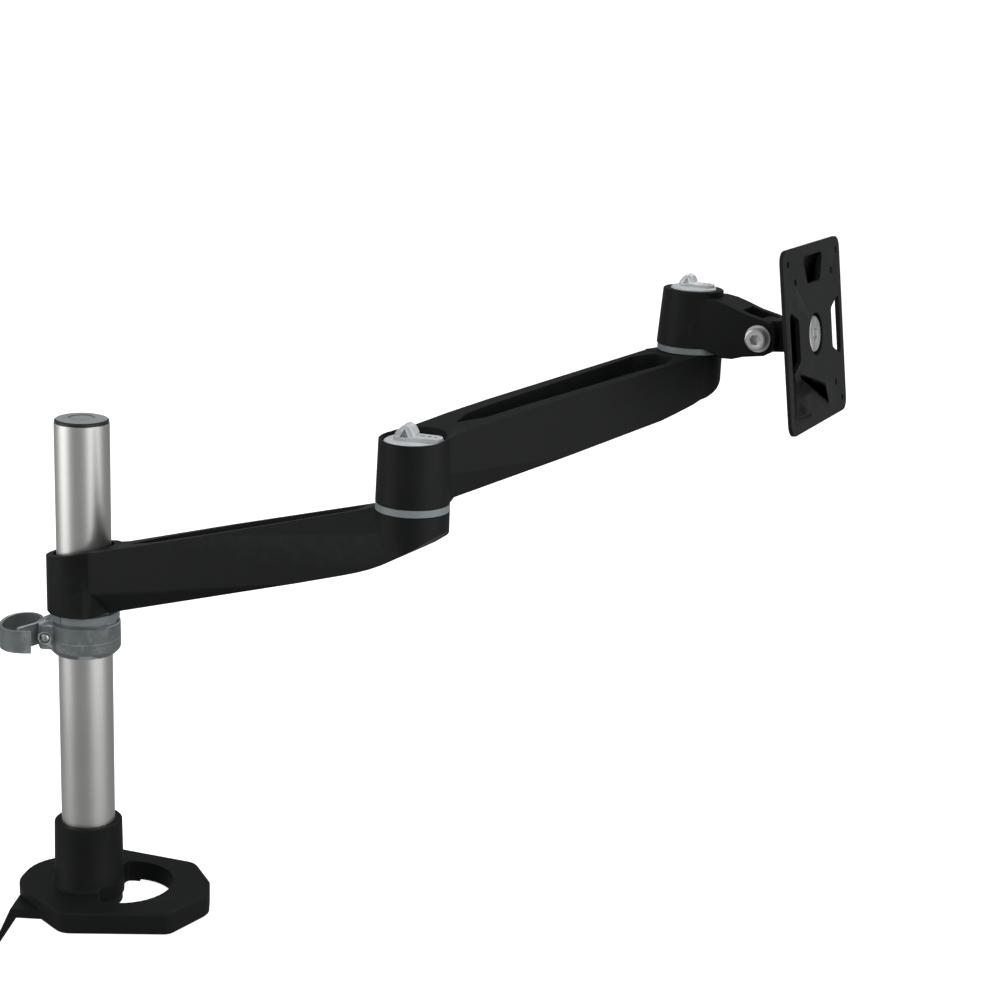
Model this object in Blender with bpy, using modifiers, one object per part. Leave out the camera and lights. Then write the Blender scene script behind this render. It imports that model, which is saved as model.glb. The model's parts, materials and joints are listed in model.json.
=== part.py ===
"""Clamp-on monitor arm: desk clamp, base, pole, height collar, two links, tilt head and display plate.

All numbers below are millimetres and degrees; MM turns them into metres as the shapes are made.
The origin is where the pole's axis meets the desk top. Z is up.
"""
import math

import bmesh
import bpy
from mathutils import Matrix, Vector

MM = 0.001
GAP = 0.3  # air left between touching pieces

# Pole and base
POLE_R = 17.5
POLE_WALL = 2.5
POLE_TOP = 334.5
CAP_TOP = 337.4
BASE_YAW = -4.9
BASE_T = 15.0
BOSS_TOP = 59.7
BOSS_R = 22.3
BOSS_FOOT_R = 22.9
PAD_T = 1.2
SPIGOT_TOP = 46.0
POLE_SCREW_CIRCLE = 9.0
CABLE_HOLE_X = 24.3
CABLE_HOLE_R = 32.8
COVER_SCREW_XY = ((-26.0, 27.0), (-26.0, -27.0))

# Desk clamp
PLATE_T = 6.3
PLATE_HALF = 35.0
PLATE_NOSE_R = 22.0
SHOULDER_X = -40.5
LEG_X = -51.5
LEG_HALF = 20.0
JAW_Z = -82.0
JAW_T = 6.3
CLAMP_SCREW_R = 5.7
PAD_FACE_Z = -25.0
CLAMP_PAD_R = 19.0
HANDLE_TOP = -106.0
HANDLE_H = 24.0

# Height collar and cable clip
COLLAR_R = 22.9
COLLAR_LOW = 179.8
COLLAR_HIGH = 201.1
COLLAR_NECK_TOP = 203.1
THRUST_LOW = 203.4
THRUST_TOP = 208.7
THRUST_R = 22.4
CLIP_LOW = 186.0
CLIP_T = 1.9
COLLAR_BOLT_X = -21.6
COLLAR_BOLT_Z = 193.0
EAR_FRONT = -17.0
EAR_BACK = 9.0

# Lower link
LOWER_AZ = -24.74
LOWER_LEN = 246.6
HUB1_R = 24.0
HUB1_LOW = 209.0
HUB1_BORE_R = 19.7
SLEEVE_R = 19.4
ELBOW_R = 22.2
ELBOW_TOP = 316.5
ELBOW_RING_LOW = 316.8
ELBOW_RING_TOP = 321.4
PIVOT_PIN_R = 7.0
BUSH_R = 9.6

# Upper link
UPPER_AZ = 48.61
UPPER_LEN = 248.9
HUB2_LOW = 321.7
HUB2_LOW_R = 22.3
HUB2_TOP_R = 21.2
ELBOW_KNOB_R = 18.4
ELBOW_KNOB_Z = 358.9
ELBOW_KNOB_AZ = -12.0
WRIST_R = 22.0
WRIST_TOP = 388.2
WRIST_RING_LOW = 388.5
WRIST_RING_TOP = 393.0

# Head, tilt joint and display plate
HEAD_AZ = -22.6
HEAD_LOW = 393.3
HEAD_TOP = 430.2
HEAD_LOW_R = 22.6
HEAD_TOP_R = 20.2
WEB_HALF = 17.5
WRIST_KNOB_R = 15.2
WRIST_KNOB_Z = 431.6
WRIST_KNOB_AZ = -20.0
TILT_X = 54.0
TILT_Z = 405.0
TILT_BACK = 8.0
EAR_R = 12.0
SLOT_HALF = 10.2
TONGUE_HALF = 9.9
TILT_BOLT_R = 5.0
BRACKET_DISC_R = 22.0
PLATE_SIZE = 118.0
PLATE_FACE_X = 34.0
PLATE_THICK = 3.0
VESA_PITCHES = (75.0, 100.0)
VESA_HOLE_R = 2.3


# ---------------------------------------------------------------- scene and materials
def clear_scene():
    for obj in list(bpy.data.objects):
        bpy.data.objects.remove(obj, do_unlink=True)
    for coll in list(bpy.data.collections):
        bpy.data.collections.remove(coll)


def material(name, colour, roughness, metallic):
    mat = bpy.data.materials.new(name)
    mat.use_nodes = True
    shader = mat.node_tree.nodes["Principled BSDF"]
    shader.inputs["Base Color"].default_value = (*colour, 1.0)
    shader.inputs["Roughness"].default_value = roughness
    shader.inputs["Metallic"].default_value = metallic
    return mat


clear_scene()
ARM = bpy.data.collections.new("monitor_arm")
bpy.context.scene.collection.children.link(ARM)

BLACK = ("arm_black", (0.012, 0.012, 0.013), 0.42, 0.0)
STEEL_BLACK = ("clamp_black", (0.010, 0.010, 0.010), 0.5, 0.3)
ALUMINIUM = ("pole_aluminium", (0.58, 0.57, 0.55), 0.32, 1.0)
COLLAR_GREY = ("collar_grey", (0.13, 0.14, 0.145), 0.5, 0.0)
RING_GREY = ("ring_grey", (0.20, 0.21, 0.22), 0.5, 0.0)
KNOB_GREY = ("knob_grey", (0.42, 0.43, 0.44), 0.45, 0.0)
STEEL = ("bright_steel", (0.62, 0.62, 0.62), 0.28, 1.0)
RUBBER = ("rubber_black", (0.016, 0.016, 0.016), 0.85, 0.0)


# ---------------------------------------------------------------- shape helpers
def link(name, mesh):
    obj = bpy.data.objects.new(name, mesh)
    ARM.objects.link(obj)
    return obj


def bake(obj):
    """Evaluate the object's modifiers (or curve) into a welded mesh and return the mesh object."""
    bpy.context.view_layer.update()
    graph = bpy.context.evaluated_depsgraph_get()
    mesh = bpy.data.meshes.new_from_object(obj.evaluated_get(graph))
    bm = bmesh.new()
    bm.from_mesh(mesh)
    bmesh.ops.remove_doubles(bm, verts=bm.verts, dist=0.000001)
    bmesh.ops.dissolve_degenerate(bm, edges=bm.edges, dist=0.000001)
    bmesh.ops.recalc_face_normals(bm, faces=bm.faces)
    bm.to_mesh(mesh)
    bm.free()
    name = obj.name
    bpy.data.objects.remove(obj, do_unlink=True)
    mesh.name = name
    return link(name, mesh)


def flat(name, outline, low, high, edge=0.0):
    """A flat outline in XY given as (x, y) pairs, filled and thickened from low to high."""
    curve = bpy.data.curves.new(name, "CURVE")
    curve.dimensions = "2D"
    curve.fill_mode = "BOTH"
    spline = curve.splines.new("POLY")
    spline.points.add(len(outline) - 1)
    for point, (x, y) in zip(spline.points, outline):
        point.co = (x * MM, y * MM, 0.0, 1.0)
    spline.use_cyclic_u = True
    curve.extrude = ((high - low) / 2.0 - edge) * MM
    if edge > 0.0:
        curve.bevel_depth = edge * MM
        curve.bevel_resolution = 0
        curve.offset = -edge * MM
    obj = bake(link(name, curve))
    obj.data.transform(Matrix.Translation((0.0, 0.0, (low + high) / 2.0 * MM)))
    return obj


def side(name, outline, low, high, edge=0.0):
    """As flat, but the outline is (x, z) seen from the side and it is thickened along Y."""
    obj = flat(name, outline, -high, -low, edge)
    obj.data.transform(Matrix.Rotation(math.radians(90.0), 4, "X"))
    return obj


def front(name, outline, low, high, edge=0.0):
    """As flat, but the outline is (y, z) seen from the front and it is thickened along X."""
    obj = flat(name, outline, low, high, edge)
    turn = Matrix(((0, 0, 1, 0), (1, 0, 0, 0), (0, 1, 0, 0), (0, 0, 0, 1)))
    obj.data.transform(turn)
    return obj


def turned(name, profile, steps=20, hollow=False, x=0.0, y=0.0):
    """Spin a profile of (radius, z) pairs, listed down the outside, about a vertical axis."""
    mesh = bpy.data.meshes.new(name)
    verts = [(radius * MM, 0.0, z * MM) for radius, z in profile]
    count = len(verts)
    edges = [(i, i + 1) for i in range(count - 1)]
    if hollow:
        edges.append((count - 1, 0))
    mesh.from_pydata(verts, edges, [])
    obj = link(name, mesh)
    mod = obj.modifiers.new("turn", "SCREW")
    mod.axis = "Z"
    mod.angle = math.tau
    mod.steps = steps
    mod.render_steps = steps
    mod.use_merge_vertices = True
    mod.merge_threshold = 0.00001
    obj = bake(obj)
    obj.data.transform(Matrix.Translation((x * MM, y * MM, 0.0)))
    return obj


def rod(name, radius, low, high, steps=20, x=0.0, y=0.0, edge=0.0):
    """A plain round bar, with a chamfer on both ends if edge is given."""
    if edge > 0.0:
        profile = [(0, high), (radius - edge, high), (radius, high - edge),
                   (radius, low + edge), (radius - edge, low), (0, low)]
    else:
        profile = [(0, high), (radius, high), (radius, low), (0, low)]
    return turned(name, profile, steps, x=x, y=y)


def washer(name, outer, inner, low, high, steps=20, edge=0.3):
    """A flat ring with slightly broken outer edges."""
    profile = [(inner, high), (outer - edge, high), (outer, high - edge),
               (outer, low + edge), (outer - edge, low), (inner, low)]
    return turned(name, profile, steps, hollow=True)


def along_y(obj, x, z):
    """Lay a shape made about the Z axis on its side, so that its axis runs along Y through (x, z)."""
    obj.data.transform(Matrix.Rotation(math.radians(90.0), 4, "X"))
    obj.data.transform(Matrix.Translation((x * MM, 0.0, z * MM)))
    return obj


def along_x(obj, y=0.0, z=0.0):
    """Lay a shape made about the Z axis on its side, so that its axis runs along X through (y, z)."""
    obj.data.transform(Matrix.Rotation(math.radians(90.0), 4, "Y"))
    obj.data.transform(Matrix.Translation((0.0, y * MM, z * MM)))
    return obj


def combine(obj, other, operation):
    mod = obj.modifiers.new("combine", "BOOLEAN")
    mod.solver = "EXACT"
    mod.operation = operation
    mod.object = other
    obj = bake(obj)
    bpy.data.objects.remove(other, do_unlink=True)
    return obj


def cut(obj, *tools):
    for tool in tools:
        obj = combine(obj, tool, "DIFFERENCE")
    return obj


def join(obj, *others):
    for other in others:
        obj = combine(obj, other, "UNION")
    return obj


def common(obj, other):
    return combine(obj, other, "INTERSECT")


def soften(obj, width, segments=2, angle=40.0):
    """Round off every edge sharper than the angle."""
    mod = obj.modifiers.new("soften", "BEVEL")
    mod.width = width * MM
    mod.segments = segments
    mod.limit_method = "ANGLE"
    mod.angle_limit = math.radians(angle)
    mod.use_clamp_overlap = True
    return bake(obj)


def box(name, x0, x1, y0, y1, z0, z1):
    return flat(name, [(x0, y0), (x1, y0), (x1, y1), (x0, y1)], z0, z1)


def half_space(name, p1, p2, p3, outside):
    """A large block lying beyond the plane through three points, on the side of the outside point."""
    a, b, c, far = (Vector(p) for p in (p1, p2, p3, outside))
    normal = (b - a).cross(c - a).normalized()
    if normal.dot(far - a) < 0.0:
        normal = -normal
    obj = box(name, -300, 300, -60, 60, 0, 60)
    along = (b - a).normalized()
    across = normal.cross(along)
    frame = Matrix((along, across, normal)).transposed().to_4x4()
    frame.translation = (a + b) / 2.0 * MM
    obj.data.transform(frame)
    return obj


def circle(radius, count, x=0.0, y=0.0, start=0.0, sweep=360.0):
    """Points round an arc; a full turn leaves out the repeated last point."""
    full = abs(sweep) >= 360.0
    steps = count if full else count - 1
    points = []
    for i in range(count):
        a = math.radians(start + sweep * i / steps)
        points.append((x + radius * math.cos(a), y + radius * math.sin(a)))
    return points


def rounded(corners, steps=5):
    """An outline whose (x, y, radius) corners are replaced by arcs."""
    outline = []
    count = len(corners)
    for i, (x, y, radius) in enumerate(corners):
        here = Vector((x, y))
        back = Vector(corners[i - 1][:2]) - here
        ahead = Vector(corners[(i + 1) % count][:2]) - here
        if radius <= 0.0:
            outline.append((x, y))
            continue
        angle = back.angle(ahead)
        reach = radius / math.tan(angle / 2.0)
        start = here + back.normalized() * reach
        end = here + ahead.normalized() * reach
        middle = (back.normalized() + ahead.normalized()).normalized()
        centre = here + middle * (radius / math.sin(angle / 2.0))
        a0 = math.atan2(start.y - centre.y, start.x - centre.x)
        a1 = math.atan2(end.y - centre.y, end.x - centre.x)
        turn = (a1 - a0 + math.pi) % math.tau - math.pi
        for k in range(steps + 1):
            a = a0 + turn * k / steps
            outline.append((centre.x + radius * math.cos(a), centre.y + radius * math.sin(a)))
    return outline


def drawn_in(corners, inset):
    """The same (x, y, radius) corners, listed counter-clockwise, with every side moved inwards."""
    moved = []
    for i, (x, y, radius) in enumerate(corners):
        here = Vector((x, y))
        back = (Vector(corners[i - 1][:2]) - here).normalized()
        ahead = (Vector(corners[(i + 1) % len(corners)][:2]) - here).normalized()
        half_angle = back.angle(ahead) / 2.0
        here += (back + ahead).normalized() * (inset / math.sin(half_angle))
        moved.append((here.x, here.y, max(radius - inset, 2.0)))
    return moved


def smooth_path(points, per_span=6):
    """A smooth curve through the points, with evenly many steps in each span."""
    padded = [points[0]] + list(points) + [points[-1]]
    path = []
    for i in range(1, len(padded) - 2):
        p0, p1, p2, p3 = (Vector(padded[i + k]) for k in (-1, 0, 1, 2))
        for k in range(per_span):
            t = k / per_span
            path.append(0.5 * ((2 * p1) + (p2 - p0) * t + (2 * p0 - 5 * p1 + 4 * p2 - p3) * t * t
                               + (3 * p1 - p0 - 3 * p2 + p3) * t * t * t))
    path.append(Vector(points[-1]))
    return path


def ribbon(path, thickness):
    """The outline of a strip of even thickness that follows an open path."""
    left = []
    right = []
    for i, point in enumerate(path):
        ahead = path[min(i + 1, len(path) - 1)] - path[max(i - 1, 0)]
        normal = Vector((-ahead.y, ahead.x)).normalized() * thickness / 2.0
        left.append(tuple(point + normal))
        right.append(tuple(point - normal))
    return left + right[::-1]


def rotated(outline, degrees):
    a = math.radians(degrees)
    return [(x * math.cos(a) - y * math.sin(a), x * math.sin(a) + y * math.cos(a)) for x, y in outline]


def hex_outline(across_flats):
    return circle(across_flats / math.sqrt(3.0), 6)


def finish(obj, mat, frame=None, smooth_angle=32.0):
    """Give a shape its material and shading and hang it on its joint frame."""
    name, colour, roughness, metallic = mat
    shared = bpy.data.materials.get(name) or material(name, colour, roughness, metallic)
    obj.data.materials.clear()
    obj.data.materials.append(shared)
    obj.data.shade_smooth()
    obj.data.set_sharp_from_angle(angle=math.radians(smooth_angle))
    if frame is not None:
        obj.parent = frame
    return obj


def joint_frame(name, parent=None, location=(0.0, 0.0, 0.0), azimuth=0.0, pitch=0.0):
    """An empty on a joint axis; the pieces that move with the joint hang on it."""
    empty = bpy.data.objects.new(name, None)
    empty.empty_display_size = 0.02
    ARM.objects.link(empty)
    empty.location = Vector(location) * MM
    empty.rotation_euler = (0.0, math.radians(pitch), math.radians(azimuth))
    if parent is not None:
        empty.parent = parent
    return empty


# ---------------------------------------------------------------- stand: clamp bracket, base, pole
def bracket_plan(grow=0.0, nose_grow=0.0):
    """Plan outline of the clamp bracket's top plate, round at the nose under the pole."""
    half = PLATE_HALF + grow
    nose = circle(PLATE_NOSE_R + nose_grow, 17, start=-72.0, sweep=144.0)
    return [(-70.0, -half), (-20.0, -half)] + nose + [(-20.0, half), (-70.0, half)]


def pole_screw_places():
    return circle(POLE_SCREW_CIRCLE, 3, start=60.0)


def countersunk_hole(x, y, radius, head_radius, depth):
    """A cutter for a through hole with a countersink from below."""
    profile = [(0, 10), (radius, 10), (radius, depth), (head_radius, 0), (head_radius, -2), (0, -2)]
    return turned("hole", profile, 16, x=x, y=y)


def make_bracket():
    slope = Vector((LEG_X - SHOULDER_X, -20.0))
    normal = Vector((slope.y, -slope.x)).normalized() * PLATE_T
    outer_x = LEG_X - PLATE_T
    outer_z = -normal.y + (outer_x - (SHOULDER_X + normal.x)) * slope.y / slope.x
    inner = [(30.0, 0.0), (SHOULDER_X, 0.0), (LEG_X, -20.0), (LEG_X, JAW_Z), (16.0, JAW_Z)]
    outer = [(16.0, JAW_Z - JAW_T), (outer_x, JAW_Z - JAW_T), (outer_x, outer_z),
             (-44.2, PLATE_T), (30.0, PLATE_T)]
    body = side("clamp_bracket", inner + outer, -PLATE_HALF, PLATE_HALF)
    half = [(PLATE_HALF, 10), (PLATE_HALF, -24), (LEG_HALF, -46), (LEG_HALF, -95)]
    outline = half + [(-y, z) for y, z in reversed(half)]
    body = common(body, front("shape_front", outline, -80, 40))
    upper = flat("shape_plan", bracket_plan(), -20.5, 20.0)
    lower = flat("shape_jaw", rounded([(16, -LEG_HALF, 14), (16, LEG_HALF, 14), (-80, LEG_HALF, 0),
                                       (-80, -LEG_HALF, 0)]), -120.0, -70.0)
    middle = box("shape_leg", -80, 40, -60, 60, -71.0, -20.0)
    body = common(body, join(middle, upper, lower))
    body = soften(body, 0.7, 1)
    body = cut(body, rod("hole", 9.3, JAW_Z - 20, JAW_Z + 5, 24))
    for x, y in pole_screw_places():
        body = cut(body, countersunk_hole(x, y, 2.8, 5.4, 3.2))
    for x, y in COVER_SCREW_XY:
        body = cut(body, countersunk_hole(x, y, 2.3, 4.4, 2.4))
    finish(body, STEEL_BLACK)


def base_outline(inset=0.0):
    corners = [(80.5, 13.0, 16), (62.0, 40.5, 12), (-2.0, 52.5, 14), (-46.3, 18.0, 30),
               (-46.3, -16.0, 28), (-1.0, -55.0, 14), (69.5, -42.0, 9), (86.0, -8.0, 14)]
    return rotated(rounded(drawn_in(corners, inset), 6), BASE_YAW)


def cable_hole_outline(grow=0.0):
    """The opening between the boss and the base's tip; its inner side follows the boss."""
    wall = BOSS_FOOT_R + 0.3
    arc = circle(wall, 11, start=52.0, sweep=-104.0)
    round_side = circle(CABLE_HOLE_R + grow, 25, x=CABLE_HOLE_X, start=-105.0, sweep=210.0)
    outer = [(x, y, 3.0 if i in (0, 24) else 0.0) for i, (x, y) in enumerate(round_side)]
    lead = [(arc[-1][0], arc[-1][1], 0)]
    tail = [(arc[0][0], arc[0][1], 0)]
    outline = rounded(lead + outer + tail, 4)
    return rotated(outline + arc[1:-1], BASE_YAW)


def make_base():
    cover = flat("base_cover", base_outline(), 0.0, BASE_T, 1.2)
    profile = [(0, BOSS_TOP), (BOSS_R - 1.0, BOSS_TOP), (BOSS_R, BOSS_TOP - 0.9),
               (BOSS_FOOT_R, BASE_T + 3.4), (BOSS_FOOT_R + 0.7, BASE_T + 1.3),
               (BOSS_FOOT_R + 2.4, BASE_T + 0.2), (BOSS_FOOT_R + 2.8, BASE_T - 3), (0, BASE_T - 3)]
    cover = join(cover, turned("boss", profile, 40))
    cover = cut(cover, rod("hole", POLE_R + GAP, -5, BOSS_TOP + 5, 40),
                flat("hole", cable_hole_outline(), -5, BASE_T + 6),
                flat("hole", bracket_plan(GAP, 2.2), -5, PLATE_T + GAP))
    for x, y in COVER_SCREW_XY:
        cover = cut(cover, rod("hole", 2.3, 0, 12.6, 16, x=x, y=y))
    rim = cut(flat("pocket", base_outline(6.0), -5, PAD_T + GAP), box("hole", -90, 27, -90, 90, -9, 9))
    cover = cut(cover, rim)
    finish(cover, BLACK)
    pad = flat("base_pad", base_outline(6.4), 0.0, PAD_T)
    pad = cut(pad, box("hole", -90, 27.4, -90, 90, -9, 9), flat("hole", cable_hole_outline(4.0), -5, 5))
    finish(pad, RUBBER)
    for i, (x, y) in enumerate(COVER_SCREW_XY):
        screw = turned("cover_screw_%d" % (i + 1), [(0, 12.2), (2.0, 12.2), (2.0, 2.3), (4.0, 0.3), (0, 0.3)],
                       16, x=x, y=y)
        finish(screw, STEEL)


def make_pole():
    low = PLATE_T + GAP
    inner = POLE_R - POLE_WALL
    tube = turned("pole_tube", [(inner, POLE_TOP), (POLE_R - 0.4, POLE_TOP), (POLE_R, POLE_TOP - 0.4),
                                (POLE_R, low), (inner, low)], 40, hollow=True)
    finish(tube, ALUMINIUM)
    profile = [(0, CAP_TOP), (POLE_R - 3.2, CAP_TOP - 0.1), (POLE_R - 1.2, CAP_TOP - 0.7),
               (POLE_R - 0.3, CAP_TOP - 1.6), (POLE_R - 0.3, POLE_TOP + GAP),
               (inner - GAP, POLE_TOP + GAP), (inner - GAP, POLE_TOP - 8.0), (0, POLE_TOP - 8.0)]
    dish = [(0, CAP_TOP + 1), (9.5, CAP_TOP + 1), (8.0, CAP_TOP - 0.6), (0, CAP_TOP - 0.8)]
    finish(cut(turned("pole_cap", profile, 40), turned("dish", dish, 40)), RING_GREY)
    spigot = rod("pole_spigot", inner - GAP, low, SPIGOT_TOP, 24, edge=0.8)
    for i, (x, y) in enumerate(pole_screw_places()):
        spigot = cut(spigot, rod("hole", 2.8, 0, 27.0, 16, x=x, y=y))
        screw = turned("pole_screw_%d" % (i + 1), [(0, 26.0), (2.5, 26.0), (2.5, 3.1), (5.0, 0.3), (0, 0.3)],
                       16, x=x, y=y)
        finish(screw, STEEL)
    finish(spigot, STEEL)


def make_clamp(frame):
    under = JAW_Z - JAW_T
    profile = [(6.1, JAW_Z - 0.4), (8.6, JAW_Z - 0.4), (9.0, JAW_Z - 0.8), (9.0, under - GAP),
               (12.5, under - GAP), (12.5, under - 3.0), (12.1, under - 3.4), (6.1, under - 3.4)]
    finish(turned("jaw_nut", profile, 24, hollow=True), STEEL)
    profile = [(0, PAD_FACE_Z), (CLAMP_PAD_R - 1.0, PAD_FACE_Z), (CLAMP_PAD_R - 0.5, PAD_FACE_Z - 0.5),
               (CLAMP_PAD_R - 0.5, PAD_FACE_Z - 2.2), (0, PAD_FACE_Z - 2.2)]
    finish(turned("clamp_pad_rubber", profile, 40), RUBBER, frame)
    top = PAD_FACE_Z - 2.5
    profile = [(0, top), (CLAMP_PAD_R, top), (CLAMP_PAD_R, top - 1.6), (CLAMP_PAD_R - 1, top - 2.4),
               (11.0, top - 3.2), (9.6, top - 8.0), (4.6, top - 8.0), (4.6, top - 3.0), (0, top - 3.0)]
    finish(turned("clamp_pad", profile, 40), STEEL_BLACK, frame)


def make_clamp_screw(frame):
    tip = PAD_FACE_Z - 2.5 - 3.3
    shank = [(0, tip), (3.4, tip), (4.2, tip - 0.8), (4.2, tip - 6.0), (CLAMP_SCREW_R, tip - 8.0)]
    low = HANDLE_TOP - HANDLE_H + 7.0
    shank += [(CLAMP_SCREW_R, HANDLE_TOP + 4.0), (CLAMP_SCREW_R - 0.9, HANDLE_TOP + 3.0),
              (CLAMP_SCREW_R - 0.9, low), (0, low)]
    finish(turned("clamp_screw", shank, 24), STEEL, frame)
    lobes = []
    for i in range(40):
        a = math.tau * i / 40
        r = 19.0 + 2.2 * math.cos(5 * a)
        lobes.append((r * math.cos(a), r * math.sin(a)))
    knob = flat("clamp_handle", lobes, HANDLE_TOP - HANDLE_H, HANDLE_TOP - 4.0, 1.4)
    neck = [(0, HANDLE_TOP), (9.0, HANDLE_TOP), (10.0, HANDLE_TOP - 1.0), (12.0, HANDLE_TOP - 6.0),
            (0, HANDLE_TOP - 6.0)]
    knob = join(knob, turned("neck", neck, 24))
    knob = cut(knob, rod("hole", CLAMP_SCREW_R - 0.6, low - 0.4, HANDLE_TOP + 2, 20))
    finish(knob, BLACK, frame)


# ---------------------------------------------------------------- height collar with cable clip
def make_collar(frame):
    bore = POLE_R + GAP
    ring = turned("height_collar", [(bore, COLLAR_NECK_TOP), (20.2, COLLAR_NECK_TOP), (20.4, COLLAR_HIGH),
                                    (COLLAR_R - 0.5, COLLAR_HIGH), (COLLAR_R, COLLAR_HIGH - 0.5),
                                    (COLLAR_R + 0.1, COLLAR_LOW + 4.0), (COLLAR_R - 0.6, COLLAR_LOW + 2.4),
                                    (COLLAR_R - 3.0, COLLAR_LOW), (bore, COLLAR_LOW)], 40, hollow=True)
    ear = flat("ear", rounded([(-16.5, EAR_FRONT, 0), (-16.5, EAR_BACK, 0), (-26.0, EAR_BACK, 2),
                               (-28.6, 3.0, 2), (-28.6, -9.0, 3), (-25.2, EAR_FRONT, 2.5)], 4),
               COLLAR_LOW + 5.0, COLLAR_HIGH - 0.4, 0.4)
    inside = rod("hole", bore + 2.0, COLLAR_LOW - 5, COLLAR_NECK_TOP + 5, 40)
    ear = cut(ear, inside)
    path = smooth_path([(-37.2, -24.2), (-33.0, -17.5), (-29.0, -11.2), (-28.0, -3.5), (-30.4, 4.2),
                        (-36.4, 8.4), (-43.5, 7.4), (-48.8, 2.2), (-51.2, -6.0), (-51.0, -15.0),
                        (-48.4, -22.8), (-43.0, -28.2), (-36.0, -30.4), (-27.4, -29.6)], 3)
    clip = flat("clip", ribbon(path, CLIP_T), CLIP_LOW, COLLAR_HIGH, 0.3)
    boss = along_y(rod("boss", 4.6, -EAR_FRONT - 1.0, -EAR_FRONT + 1.0, 24), COLLAR_BOLT_X, COLLAR_BOLT_Z)
    ring = join(ring, ear, clip, boss)
    slit = box("slit", -25.6, -15.0, -4.6, -3.2, COLLAR_LOW - 5, COLLAR_NECK_TOP + 5)
    bolt_hole = along_y(rod("hole", 2.3, -EAR_BACK - 3, -EAR_FRONT + 3, 16), COLLAR_BOLT_X, COLLAR_BOLT_Z)
    recess = along_y(rod("hole", 3.4, -EAR_FRONT - 0.6, -EAR_FRONT + 4, 24), COLLAR_BOLT_X, COLLAR_BOLT_Z)
    nut_seat = along_y(rod("hole", 4.4, -EAR_BACK - 8, -EAR_BACK, 20), COLLAR_BOLT_X, COLLAR_BOLT_Z)
    finish(cut(ring, slit, bolt_hole, recess, nut_seat), COLLAR_GREY, frame)

    seat = -EAR_FRONT - 0.3
    bolt = turned("collar_bolt", [(0, seat + 2.2), (1.8, seat + 2.1), (2.6, seat + 1.5), (3.0, seat + 0.7),
                                  (3.0, seat), (2.0, seat), (2.0, -EAR_BACK - 4.0), (0, -EAR_BACK - 4.0)], 24)
    socket = flat("hole", hex_outline(2.4), seat + 1.0, seat + 4)
    finish(along_y(cut(bolt, socket), COLLAR_BOLT_X, COLLAR_BOLT_Z), STEEL, frame)
    nut = flat("collar_nut", hex_outline(6.6), -EAR_BACK - 3.4, -EAR_BACK - 0.3, 0.3)
    nut = cut(nut, rod("hole", 2.3, -EAR_BACK - 6, -EAR_BACK + 3, 16))
    finish(along_y(nut, COLLAR_BOLT_X, COLLAR_BOLT_Z), STEEL, frame)
    thrust = washer("thrust_ring", THRUST_R, bore, THRUST_LOW, THRUST_TOP, 40)
    a = math.radians(-118.0)
    seam = box("seam", 20.8, 30, -0.35, 0.35, THRUST_LOW - 3, THRUST_TOP + 3)
    seam.data.transform(Matrix.Rotation(a, 4, "Z"))
    finish(cut(thrust, seam), RING_GREY, frame)


# ---------------------------------------------------------------- links
def link_beam(name, length, near_half, far_half, profile, facets):
    """The straight part of a link: a tapered plan, the side profile and four slanting facets."""
    plan = [(8.0, -near_half), (length - 5.0, -far_half), (length - 5.0, far_half), (8.0, near_half)]
    beam = common(flat(name, plan, 180.0, 420.0), side("profile", profile, -40, 40))
    for p1, p2, p3, outside in facets:
        for hand in (1.0, -1.0):
            points = [(x, y * hand, z) for x, y, z in (p1, p2, p3, outside)]
            beam = cut(beam, half_space("facet", *points))
    return beam


def pocket(outline, floor, top):
    """A cutter for the long recess in a link's upper face, with a floor that follows the slope."""
    low_a, low_b = floor
    shape = flat("pocket", outline, 180.0, top)
    region = side("region", [low_a, low_b, (low_b[0], top), (low_a[0], top)], -30, 30)
    return common(shape, region)


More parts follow.
